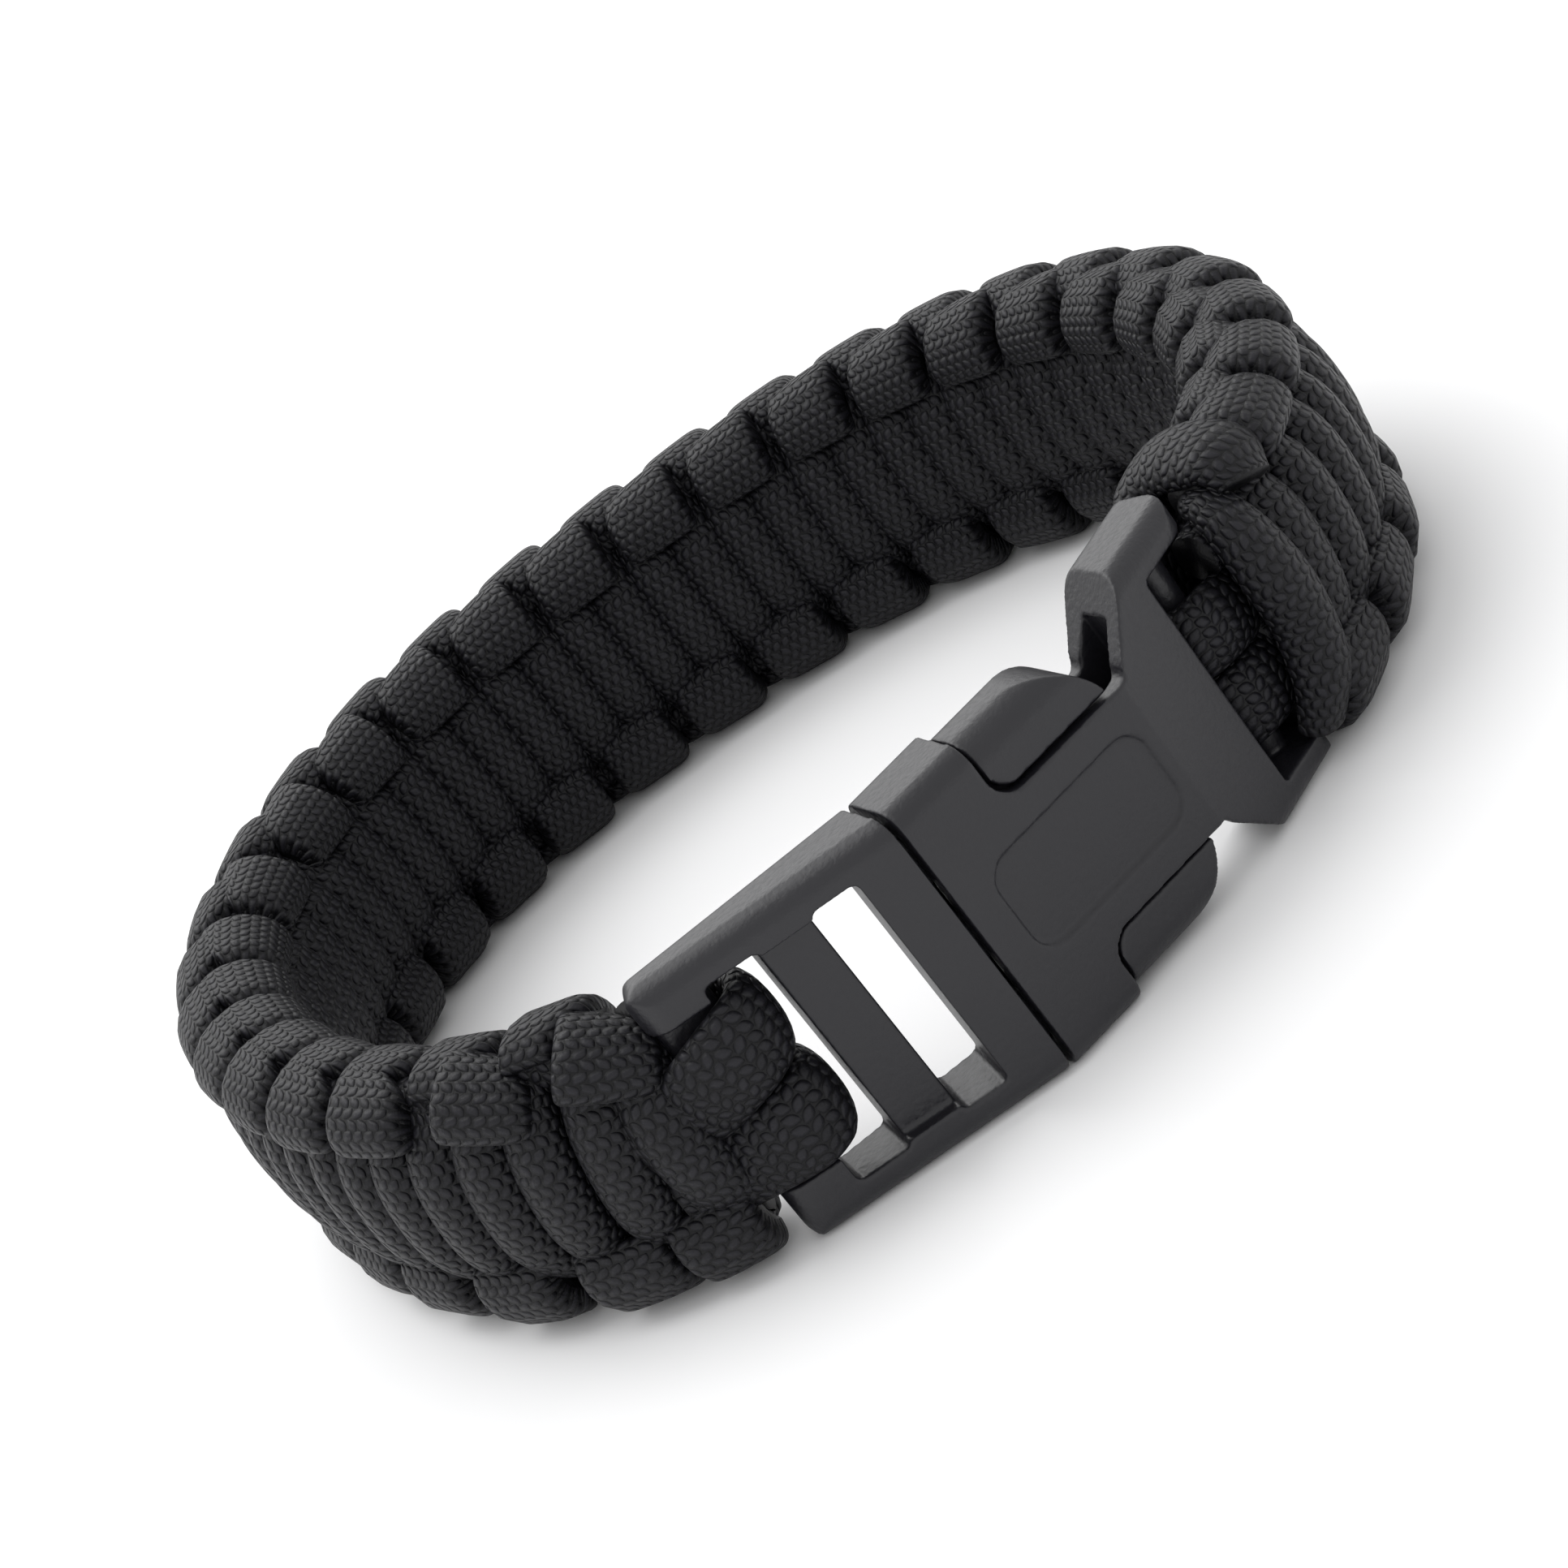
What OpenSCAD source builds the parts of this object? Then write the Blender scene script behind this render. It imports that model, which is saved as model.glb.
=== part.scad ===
/* [Loop] */
// Mean radius of the band's middle line, seen from above
loop_radius = 40.3; // [38:0.1:46]
// Share by which the loop is longer along X than along Y
loop_oval = 0.042; // [0:0.002:0.08]
// Share by which the long way leans away from X
loop_lean = -0.049; // [-0.06:0.002:0]
// Share of the egg shape
loop_egg = 0.029; // [0:0.002:0.04]
// Share that turns the egg shape
loop_egg_turn = -0.011; // [-0.02:0.001:0]
// Share by which the loop is rounder than square
loop_square = -0.016; // [-0.03:0.002:0]

/* [Weave] */
// Full knots from buckle to buckle
knots = 26; // [22:1:30]
// Width of the woven band, over its edge bumps
band_width = 21.6; // [19:0.2:25]
// Thickness of the woven band, over its bars
band_thickness = 9.2; // [8:0.1:11]
// How far the edge bumps stand out
edge_lift = 1.5; // [0.5:0.1:2]
// How far the bars stand out
bar_lift = 0.8; // [0.3:0.1:1.2]
// How far the knots lean from top to bottom near the buckle, in half knots
end_lean = 0.8; // [0:0.1:1]
// How far the knots lean from top to bottom on the far side, in half knots
far_lean = -0.1; // [-0.3:0.1:0.3]
// Thickness of the flattened cord where it wraps a buckle bar
cord_thickness = 2.3; // [1.8:0.1:2.4]
// Width of the flattened cord where it wraps a buckle bar
cord_width = 6.6; // [5:0.1:7]
// How far the two wraps sit off the middle of the bar
wrap_shift = 0.5; // [0:0.1:0.8]

/* [Buckle] */
// How far each side of the buckle stands beyond the band's edge
buckle_overhang = 0.1; // [0:0.1:0.5]
// Thickness of the buckle at its seam
buckle_thickness = 6.6; // [6:0.1:7.4]
// How much thinner the socket's head is
head_thinning = 0.6; // [0.2:0.1:1]
// Where the seam lies round the loop, in degrees
seam_angle = 263.5; // [260:0.5:268]
// How far the front face stands outside the band's middle line
front_offset = 4.9; // [4.4:0.1:5.5]
// Slope of the plug's front face, in degrees
plug_slope = 18.9; // [15:0.1:22]
// Slope of the socket's front face, in degrees
socket_slope = 4.7; // [3:0.1:8]
// How much further the socket's head bends in, in degrees
head_bend = 20; // [14:0.5:24]
// Rounding of the long outer edges
edge_round = 1.6; // [1:0.1:1.8]
// Clear space round the parts that slide into each other
clearance = 0.3; // [0.2:0.05:0.4]
// Width of the buckle's sides beside the cord slots
side_width = 2.3; // [2.1:0.1:2.6]

/* [Plug] */
// Length of the plug outside the socket
plug_length = 20.2; // [20:0.1:21]
// Thickness of the plug at its free end
plug_end_thickness = 4; // [3.6:0.1:4.4]
// How far the open slot's walls turn from square to the plug's front face, in degrees
slot_turn = 11; // [0:1:14]
// How much further the cord slot's walls turn, in degrees
cord_slot_draft = 3.5; // [0:0.5:4]
// Distance from the seam to the open slot
open_slot_start = 4.0; // [3.5:0.1:4.4]
// Width of the open slot
open_slot_width = 3.4; // [3:0.1:3.6]
// Width of the crossbar between the slots
crossbar_width = 4.0; // [3.6:0.1:4.2]
// How far the crossbar lies below the front face
crossbar_drop = 1.2; // [0.4:0.1:1.6]
// Width of the slot that holds the cord
cord_slot_width = 4.0; // [3.9:0.1:4.2]
// Thickness of the bars that carry the cord
bar_thickness = 2.4; // [2:0.1:2.6]

/* [Socket] */
// Length of the closed collar behind the seam
collar_length = 6.4; // [5.8:0.1:7]
// Length from the seam to the bend of the head
socket_length = 17.2; // [16.8:0.1:18.4]
// Half width of the waist between the side windows
waist_half = 6.0; // [5.6:0.1:6.2]
// Length of the front plate beyond the bend
plate_length = 6.7; // [6:0.1:7.4]
// Length of the arms beyond the front plate
arm_length = 6.5; // [6.4:0.1:7]
// Thickness of the socket's walls
wall = 1.3; // [1.1:0.1:1.5]
// Length of the sunk panel
panel_length = 13.6; // [9:0.2:14]
// Width of the sunk panel
panel_width = 7.4; // [5:0.2:8]
// Depth of the sunk panel
panel_depth = 0.35; // [0.2:0.05:0.5]
// Corner radius of the sunk panel
panel_corner = 2; // [1:0.1:3]

/* [Hidden] */
$fn = 48;
ROUND = 64;

// The buckle is as wide as the band and stands a little beyond it, and the cord slots cross it
buckle_width = band_width + 2 * buckle_overhang;
slot_length = buckle_width - 2 * side_width;
half_width = buckle_width / 2;
half_slot = slot_length / 2;
mid_height = half_width;
seam_gap = clearance + 0.1;

// Stock long enough to cross the buckle, and how far stock and cutters run past a cut
reach = 60;
margin = 4;
over = 1;

// Where the cuts across the plug lie, counted back from the seam
open_slot_end = open_slot_start + open_slot_width;
cord_slot_start = open_slot_end + crossbar_width;
cord_slot_end = cord_slot_start + cord_slot_width;
slot_corner = 0.5;
crossbar_ledge = 0.4;

// The plug's bar: a flat rod behind the cord slot, with full plate on both sides of it
wrap_gap = 0.1;
bar_seat = 0.5;
bar_half_span = cord_width + wrap_gap / 2 + clearance;
bar_cut_overlap = 0.6;
plug_bar_inset = 0.2;
plug_bar_start = -cord_slot_end - bar_thickness / 2;
plug_bar_end = -plug_length + bar_thickness / 2 + plug_bar_inset;
plug_bar_y = 2.3;
plug_nose_round = plug_end_thickness / 2 + 0.15;

// Where the socket's bar lies in the head's own frame
head_length = plate_length + arm_length;
head_thickness = buckle_thickness - head_thinning;
socket_bar_inset = 2.7;
socket_bar_x = head_length - socket_bar_inset;
socket_bar_y = 3.6;

function dot_2d(a, b) = a[0] * b[0] + a[1] * b[1];
function unit(v) = v / norm(v);
function heading(a) = [cos(a), sin(a)];
function mix(a, b, t) = a + (b - a) * t;
function smooth(t) = let (c = min(1, max(0, t))) c * c * (3 - 2 * c);
function soft_pow(x, e) = sign(x) * pow(abs(x), e);

// The middle line of the band: its distance from the loop's centre at each angle
function loop_r(a) = loop_radius * (1 + loop_oval * cos(2 * a) + loop_lean * sin(2 * a)
    + loop_egg * cos(3 * a) + loop_egg_turn * sin(3 * a) + loop_square * cos(4 * a));
function loop_point(a) = loop_r(a) * heading(a);
tangent_step = 0.5;
function loop_tangent(a) = unit(loop_point(a + tangent_step) - loop_point(a - tangent_step));

// The seam's front point, and the frames of plug, socket and head in the loop's plane
seam_point = (loop_r(seam_angle) + front_offset) * heading(seam_angle);
plug_out = [-cos(plug_slope), sin(plug_slope)];
socket_out = [cos(socket_slope), sin(socket_slope)];
head_slope = socket_slope + head_bend;
head_out = [cos(head_slope), sin(head_slope)];
head_in = [-sin(head_slope), cos(head_slope)];
plug_in = [sin(plug_slope), cos(plug_slope)];
bend_point = seam_point + socket_length * socket_out;
plug_end = seam_point + plug_length * plug_out;
head_end = bend_point + head_length * head_out;

// The band starts and ends just clear of the buckle
band_gap = clearance;
search_span = 8;
search_step = 0.05;
search = [-search_span : search_step : search_span];
plug_side = atan2(plug_end[1], plug_end[0]) + 360;
socket_side = atan2(head_end[1], head_end[0]) + 360;
start_angle = max([for (d = search) let (a = plug_side + d)
    if (dot_2d(loop_point(a) - plug_end, plug_out) >= band_gap) a]);
end_angle = min([for (d = search) let (a = socket_side + d)
    if (dot_2d(loop_point(a) - head_end, head_out) >= band_gap) a]) - 360;

// Lengths along the middle line, walked from the plug round the far side to the socket
line_steps = 400;
line_angles = [for (i = [0 : line_steps]) mix(start_angle, end_angle, i / line_steps)];
line_bits = [for (i = [1 : line_steps]) norm(loop_point(line_angles[i]) - loop_point(line_angles[i - 1]))];
line_lengths = [for (i = 0, s = 0; i <= line_steps; s = s + (i < line_steps ? line_bits[i] : 0), i = i + 1) s];
line_table = [for (i = [0 : line_steps]) [line_lengths[i], line_angles[i]]];
weave_length = line_lengths[line_steps];
pitch = weave_length / knots;

// The knots' relief: rings along the band, and points round each ring
rings_per_knot = 8;
ring_points = 24;
ring_count = knots * rings_per_knot;
bump_power = 0.6;
section_power = 0.72;
edge_from = 0.55;
edge_run = 0.3;
side_sharpness = 1.4;
lean_run = 80;
end_run = 2;
end_shrink = 0.14;
half_edge = band_width / 2 - edge_lift;
half_face = band_thickness / 2 - bar_lift;

function ripple(x) = pow(abs(sin(180 * x)), bump_power);
function end_blend(u) = smooth(1 - u / pitch);
function end_round(u) = 1 - end_shrink * pow(max(0, 1 - u / end_run), 2);
function lean(u) = mix(far_lean, end_lean, smooth(1 - u / lean_run) + smooth(1 - (weave_length - u) / lean_run));

// Which way the thickness of the band points at the length u
function band_outward(u, a) = let (t = loop_tangent(a), n = [t[1], -t[0]])
    unit(n + end_blend(u) * (-plug_in - n) + end_blend(weave_length - u) * (-head_in - n));

// One point of a ring: height along Z and distance out from the middle line
function ring_offset(u, phi) = let (
    height = soft_pow(sin(phi), section_power),
    depth = soft_pow(cos(phi), section_power),
    bar_count = 2 * u / pitch - lean(u) * (1 - height) / 2,
    edge = smooth((abs(sin(phi)) - edge_from) / edge_run),
    front = smooth(0.5 + cos(phi) * side_sharpness),
    upper = sin(phi) >= 0 ? 0.5 : 0,
    outer_bump = ripple(bar_count / 2 + upper),
    inner_bump = ripple(bar_count / 2 + 0.5 - upper),
    bump = max(outer_bump * min(1, 2 * front), inner_bump * min(1, 2 * (1 - front))),
    lift = mix(ripple(bar_count), bump, edge))
    [height * (half_edge + edge_lift * bump * edge), depth * (half_face + bar_lift * lift)]
    * end_round(u) * end_round(weave_length - u);

function ring(k) = let (u = weave_length * k / ring_count, a = lookup(u, line_table),
    p = loop_point(a), n = band_outward(u, a))
    [for (j = [0 : ring_points - 1]) let (o = ring_offset(u, 360 * j / ring_points))
        [p[0] + n[0] * o[1], p[1] + n[1] * o[1], o[0]]];
band_points = [for (k = [0 : ring_count]) each ring(k)];

// The middle of the whole bracelet, seen from above, is the origin
band_x = [for (p = band_points) p[0]];
band_y = [for (p = band_points) p[1]];
centre_x = -(min(band_x) + max(band_x)) / 2;
centre_y = -(min(seam_point[1], min(band_y)) + max(band_y)) / 2;

module rounded_box(length, height, depth, r) {
    // A bar along X whose four long edges are round
    rotate([90, 0, 90]) linear_extrude(length) union() {
        translate([r, -height / 2]) square([depth - 2 * r, height]);
        translate([0, -height / 2 + r]) square([depth, height - 2 * r]);
        for (y = [r, depth - r], z = [-1, 1]) translate([y, z * (height / 2 - r)]) circle(r);
    }
}

module buckle_frame() {
    // From the seam's front point, X along the socket and Y into the buckle
    translate([centre_x, centre_y, mid_height]) translate([seam_point[0], seam_point[1], 0]) children();
}

module head_frame() {
    rotate([0, 0, socket_slope]) translate([socket_length, 0, 0]) rotate([0, 0, head_bend]) children();
}

module socket_side_of_seam() {
    rotate([0, 0, socket_slope]) translate([seam_gap / 2, -reach / 2, -reach / 2]) cube(reach);
}

module plug_side_of_seam() {
    rotate([0, 0, socket_slope]) translate([-reach - seam_gap / 2, -reach / 2, -reach / 2]) cube(reach);
}

module front_outline(x0, x1, half, corner) {
    // A plate seen from the front, its two corners at x0 round
    translate([x0 + corner, -half]) square([x1 - x0 - corner, 2 * half]);
    translate([x0, -half + corner]) square([x1 - x0, 2 * (half - corner)]);
    for (z = [-1, 1]) translate([x0 + corner, z * (half - corner)]) circle(corner);
}

module through_y() {
    // Carries an outline drawn in X and Z through the whole thickness
    rotate([90, 0, 0]) translate([0, 0, -reach / 2]) linear_extrude(reach) children();
}

module plug_plate_profile() {
    // Side view of the plug from the front: flat, and round at the free end
    r = plug_nose_round;
    translate([-plug_length + r, 0]) square([plug_length - r + margin, reach]);
    translate([-plug_length + r, r]) circle(r);
}

module plug_plate() {
    // The outer shape of the plug: thick at the seam, thin at the free end, all long edges round
    back_slope = atan((buckle_thickness - plug_end_thickness) / (plug_length - plug_end_thickness / 2));
    intersection() {
        translate([0, 0, -reach / 2]) linear_extrude(reach) plug_plate_profile();
        translate([-plug_length - margin, 0, 0])
            rounded_box(plug_length + 2 * margin, buckle_width, reach, edge_round);
        translate([0, buckle_thickness, 0]) rotate([0, 0, back_slope])
            translate([-plug_length - margin, -reach, 0])
            rounded_box(plug_length + 2 * margin, buckle_width, reach, edge_round);
        through_y() front_outline(-plug_length, reach, half_width, edge_round);
    }
}

module slot_cutter(x0, x1, turn) {
    // The clear space between two bars, its walls turned a little
    translate([x0, 0, 0]) rotate([0, 0, turn]) through_y() {
        translate([0, -half_slot + slot_corner]) square([x1 - x0, slot_length - 2 * slot_corner]);
        translate([slot_corner, -half_slot]) square([x1 - x0 - 2 * slot_corner, slot_length]);
        for (x = [slot_corner, x1 - x0 - slot_corner], z = [-1, 1])
            translate([x, z * (half_slot - slot_corner)]) circle(slot_corner);
    }
}

module plug_bar() {
    // The flat rod that carries the cord, round on both edges
    height = 2 * (bar_half_span + bar_seat);
    translate([0, plug_bar_y, wrap_shift]) {
        for (x = [plug_bar_start, plug_bar_end])
            translate([x, 0, 0]) cylinder(h = height, d = bar_thickness, center = true);
        translate([plug_bar_end, -bar_thickness / 2, -height / 2])
            cube([plug_bar_start - plug_bar_end, bar_thickness, height]);
    }
}

module plug_body() {
    intersection() {
        plug_side_of_seam();
        rotate([0, 0, -plug_slope]) {
            difference() {
                plug_plate();
                slot_cutter(-open_slot_end, -open_slot_start, slot_turn);
                slot_cutter(-cord_slot_end, -cord_slot_start, slot_turn + cord_slot_draft);
                translate([-cord_slot_start - over, -over, -half_slot + crossbar_ledge])
                    cube([crossbar_width + 2 * over, over + crossbar_drop, slot_length - 2 * crossbar_ledge]);
                translate([-reach - cord_slot_end + bar_cut_overlap, -reach / 2, wrap_shift - bar_half_span])
                    cube([reach, reach, 2 * bar_half_span]);
            }
            plug_bar();
        }
    }
}

// The socket's cavity, and the stems and ears that fit in it and in its side windows
side_wall = 2.1;
cavity_half = half_width - side_wall;
stem_overlap = 1.2;
stem_low = waist_half - stem_overlap;
stem_high = cavity_half - clearance;
ear_inset = 0.4;
ear_end_gap = 0.7;
ear_start = collar_length + clearance;
ear_end = socket_length - ear_end_gap;
ear_low = waist_half + clearance;
ear_high = half_width - ear_inset;
ear_side_round = 2.2;
ear_nose_r = 5.5;
ear_nose_x = ear_end - ear_nose_r;
ear_nose_z = ear_high - ear_nose_r;
ear_foot = 1.8;
pin_width = 3;
pin_length = 11;

module ear_outline() {
    // Front view of one ear: a long round nose, and a foot clear of the window's corner
    intersection() {
        union() {
            translate([ear_start + ear_foot, ear_low]) square([reach, reach]);
            translate([ear_start, ear_low + ear_foot]) square([reach, reach]);
            translate([ear_start + ear_foot, ear_low + ear_foot]) circle(ear_foot);
        }
        union() {
            square([ear_nose_x, ear_high]);
            translate([ear_nose_x, ear_nose_z]) circle(ear_nose_r, $fn = ROUND);
        }
    }
}

module prong(side) {
    // A stem through the collar, and the ear that stands out of the side window
    depth = buckle_thickness - 2 * (wall + clearance);
    mirror([0, 0, side < 0 ? 1 : 0]) {
        translate([-seam_gap, wall + clearance, stem_low])
            cube([ear_nose_x + seam_gap, depth, stem_high - stem_low]);
        intersection() {
            through_y() ear_outline();
            translate([0, ear_inset, 0])
                rounded_box(reach / 2, 2 * ear_high, buckle_thickness - 2 * ear_inset, ear_side_round);
        }
    }
}

module buckle_plug() {
    color([0.07, 0.07, 0.075]) buckle_frame() {
        union() {
            plug_body();
            rotate([0, 0, socket_slope]) {
                translate([-seam_gap, wall + clearance, -pin_width / 2])
                    cube([pin_length, buckle_thickness - 2 * (wall + clearance), pin_width]);
                prong(1);
                prong(-1);
            }
        }
    }
}

// The window's round corner, and the shoulder where the head begins
window_round = 1.9;
shoulder_round = 0.8;
shoulder_step = 0.3;
shoulder_run = 4.2;
shoulder_start = socket_length + shoulder_round;
shoulder_low = waist_half + shoulder_step;

// How far past the bend the cavity and the pocket behind the head's plate reach
cavity_past_bend = 2.9;
pocket_past_bend = 4;
pocket_half = 7;
cavity_end = socket_length + cavity_past_bend;
pocket_start = socket_length + pocket_past_bend;
plate_thickness = 1.5;
arm_front_round = 2.6;
arm_back_round = 1;

module window_outline() {
    // Front view of one side window: a round inner corner, and a slanted shoulder at the head
    translate([collar_length + window_round, waist_half])
        square([socket_length - window_round - collar_length, reach]);
    translate([collar_length, waist_half + window_round]) square([window_round, reach]);
    translate([collar_length + window_round, waist_half + window_round]) circle(window_round);
    translate([socket_length, waist_half + shoulder_round]) circle(shoulder_round);
    polygon([[socket_length, shoulder_low], [shoulder_start, shoulder_low + shoulder_round / 2],
             [shoulder_start + shoulder_run, half_width + ear_inset], [shoulder_start + shoulder_run, reach],
             [socket_length - over, reach]]);
}

module head_profile() {
    // Side view of the head: the arms' ends are round, more so at the front
    f = arm_front_round;
    b = arm_back_round;
    translate([-margin, 0]) square([head_length + margin - f, head_thickness]);
    translate([-margin, f]) square([head_length + margin, head_thickness - f - b]);
    translate([-margin, f]) square([head_length + margin - b, head_thickness - f]);
    translate([head_length - f, f]) circle(f);
    translate([head_length - b, head_thickness - b]) circle(b);
}

module socket_shell() {
    // The straight part and the bent head with its arms, all with round long edges
    intersection() {
        rounded_box(socket_length + margin, buckle_width, buckle_thickness, edge_round);
        translate([socket_length, 0, 0]) rotate([0, 0, head_bend / 2])
            translate([-reach, -reach / 2, -reach / 2]) cube(reach);
    }
    intersection() {
        translate([socket_length, 0, 0]) rotate([0, 0, head_bend]) intersection() {
            translate([-margin, 0, 0])
                rounded_box(head_length + margin, buckle_width, head_thickness, edge_round);
            translate([0, 0, -reach / 2]) linear_extrude(reach) head_profile();
        }
        translate([socket_length, 0, 0]) rotate([0, 0, head_bend / 2])
            translate([0, -reach / 2, -reach / 2]) cube(reach);
    }
}

panel_end_gap = 0.9;

module panel_cutter() {
    // A shallow rounded rectangle in the front face
    r = panel_corner;
    h = panel_width / 2;
    rotate([-90, 0, 0]) linear_extrude(over + panel_depth) {
        translate([r, -h]) square([panel_length - 2 * r, panel_width]);
        translate([0, -h + r]) square([panel_length, panel_width - 2 * r]);
        for (x = [r, panel_length - r], z = [-1, 1]) translate([x, z * (h - r)]) circle(r);
    }
}

module head_opening() {
    // The space between the arms
    translate([plate_length, -over, -half_slot]) cube([reach, head_thickness + 2 * over, slot_length]);
}

module behind_plate(half) {
    // All that lies behind the head's front plate, within a half width
    head_frame() translate([-reach / 2, plate_thickness, -half]) cube([reach, reach, 2 * half]);
}

module buckle_socket() {
    panel_start = socket_length - panel_end_gap - panel_length;
    color([0.075, 0.075, 0.08]) buckle_frame() {
        intersection() {
            socket_side_of_seam();
            difference() {
                rotate([0, 0, socket_slope]) socket_shell();
                intersection() {
                    rotate([0, 0, socket_slope]) translate([-over, wall, -cavity_half])
                        cube([cavity_end + over, buckle_thickness - 2 * wall, 2 * cavity_half]);
                    behind_plate(reach / 2);
                }
                rotate([0, 0, socket_slope]) {
                    for (side = [0, 1]) mirror([0, 0, side]) through_y() window_outline();
                    translate([panel_start, -over, 0]) panel_cutter();
                }
                head_frame() head_opening();
                intersection() {
                    behind_plate(pocket_half);
                    rotate([0, 0, socket_slope]) translate([pocket_start, -reach / 2, -reach / 2]) cube(reach);
                }
            }
        }
        head_frame() translate([socket_bar_x, socket_bar_y, 0])
            cylinder(h = slot_length + 2 * bar_seat, d = bar_thickness, center = true);
    }
}

module woven_band() {
    function at(k, j) = k * ring_points + j % ring_points;
    sides = [for (k = [0 : ring_count - 1], j = [0 : ring_points - 1])
        each [[at(k, j), at(k + 1, j + 1), at(k, j + 1)], [at(k, j), at(k + 1, j), at(k + 1, j + 1)]]];
    first_cap = [for (j = [1 : ring_points - 2]) [at(0, 0), at(0, j), at(0, j + 1)]];
    last_cap = [for (j = [1 : ring_points - 2])
        [at(ring_count, 0), at(ring_count, j + 1), at(ring_count, j)]];
    color([0.09, 0.09, 0.095]) translate([centre_x, centre_y, mid_height])
        polyhedron(points = band_points, faces = concat(sides, first_cap, last_cap), convexity = 10);
}

wrap_inner = bar_thickness / 2 + wrap_gap;
wrap_mid = wrap_inner + cord_thickness / 2;

module cord_section() {
    // The flattened cord, seen end on: its width along Y, its thickness along X
    r = cord_thickness / 2;
    union() {
        translate([-r, -cord_width / 2 + r]) square([cord_thickness, cord_width - cord_thickness]);
        for (s = [-1, 1]) translate([0, s * (cord_width / 2 - r)]) circle(r);
    }
}

module wrap(leg) {
    // A cord round a bar: a half turn open towards +X, and two legs of the given length
    rotate([0, 0, 90]) rotate_extrude(angle = 180, $fn = ROUND) translate([wrap_mid, 0]) cord_section();
    for (s = [-1, 1]) translate([0, s * wrap_mid, 0])
        rotate([90, 0, 90]) linear_extrude(leg) cord_section();
}

module plug_wrap(side) {
    leg = plug_length + plug_bar_start + band_gap - wrap_gap;
    buckle_frame() rotate([0, 0, -plug_slope])
        translate([plug_bar_start, plug_bar_y, wrap_shift + side * (cord_width + wrap_gap) / 2])
        rotate([0, 0, 180]) wrap(leg);
}

module socket_wrap(side) {
    leg = head_length - socket_bar_x + band_gap - wrap_gap;
    buckle_frame() head_frame()
        translate([socket_bar_x, socket_bar_y, wrap_shift + side * (cord_width + wrap_gap) / 2]) wrap(leg);
}

module plug_wrap_upper() { color([0.1, 0.1, 0.105]) plug_wrap(1); }
module plug_wrap_lower() { color([0.1, 0.1, 0.105]) plug_wrap(-1); }
module socket_wrap_upper() { color([0.1, 0.1, 0.105]) socket_wrap(1); }
module socket_wrap_lower() { color([0.1, 0.1, 0.105]) socket_wrap(-1); }

buckle_plug();
buckle_socket();
woven_band();
plug_wrap_upper();
plug_wrap_lower();
socket_wrap_upper();
socket_wrap_lower();
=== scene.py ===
import math
import bpy
import numpy as np
from mathutils import Matrix


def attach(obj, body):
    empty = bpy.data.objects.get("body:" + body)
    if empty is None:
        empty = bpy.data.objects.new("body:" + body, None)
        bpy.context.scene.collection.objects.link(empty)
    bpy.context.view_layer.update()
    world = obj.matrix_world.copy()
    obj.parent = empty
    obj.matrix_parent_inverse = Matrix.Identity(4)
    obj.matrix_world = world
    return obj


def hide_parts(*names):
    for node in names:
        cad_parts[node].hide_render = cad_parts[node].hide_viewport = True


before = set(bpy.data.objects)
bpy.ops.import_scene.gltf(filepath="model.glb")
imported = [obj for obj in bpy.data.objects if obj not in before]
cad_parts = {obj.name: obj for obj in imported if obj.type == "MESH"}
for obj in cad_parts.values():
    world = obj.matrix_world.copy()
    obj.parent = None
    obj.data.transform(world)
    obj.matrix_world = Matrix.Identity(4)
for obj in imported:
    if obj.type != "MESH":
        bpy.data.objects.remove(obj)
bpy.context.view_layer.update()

mm = 0.001  # every size below is in millimetres, and the meshes are in metres
collection = bpy.context.scene.collection


# The camera stands where the photograph was taken from
photoCamera = dict(place=(-50.931, -245.330, 120.144), azimuth=-11.5, elevation=24.0, roll=-38.123,
                   lens=87.711, sensor=36.0, clip=(0.01, 20.0))


def makeCamera(c):
    data = bpy.data.cameras.new("photoCamera")
    data.lens, data.sensor_width = c["lens"], c["sensor"]
    data.clip_start, data.clip_end = c["clip"]
    camera = bpy.data.objects.new("photoCamera", data)
    collection.objects.link(camera)
    turn = (Matrix.Rotation(math.radians(c["azimuth"]), 3, "Z")
            @ Matrix.Rotation(math.radians(90 - c["elevation"]), 3, "X")
            @ Matrix.Rotation(math.radians(c["roll"]), 3, "Z"))
    camera.matrix_world = Matrix.Translation([x * mm for x in c["place"]]) @ turn.to_4x4()
    bpy.context.scene.camera = camera


makeCamera(photoCamera)
print("camera set")


# Materials, each from nodes on the object's own coordinates or on the braid's own
def nodeMaker(name):
    material = bpy.data.materials.new(name)
    material.use_nodes = True
    tree = material.node_tree
    shader = tree.nodes["Principled BSDF"]

    def node(kind, inputs=(), **settings):
        made = tree.nodes.new(kind)
        for key, value in settings.items():
            setattr(made, key, value)
        for key, value in dict(inputs).items():
            if isinstance(value, bpy.types.NodeSocket):
                tree.links.new(value, made.inputs[key])
            else:
                made.inputs[key].default_value = value
        return made

    def calc(operation, *values):
        return node("ShaderNodeMath", dict(enumerate(values)), operation=operation).outputs[0]

    def blendColour(share, dark, light):
        made = node("ShaderNodeMix", {0: share, 6: dark, 7: light}, data_type="RGBA")
        return made.outputs[2]

    def plug(socket, key):
        tree.links.new(socket, shader.inputs[key])

    return material, shader, node, calc, blendColour, plug


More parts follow.
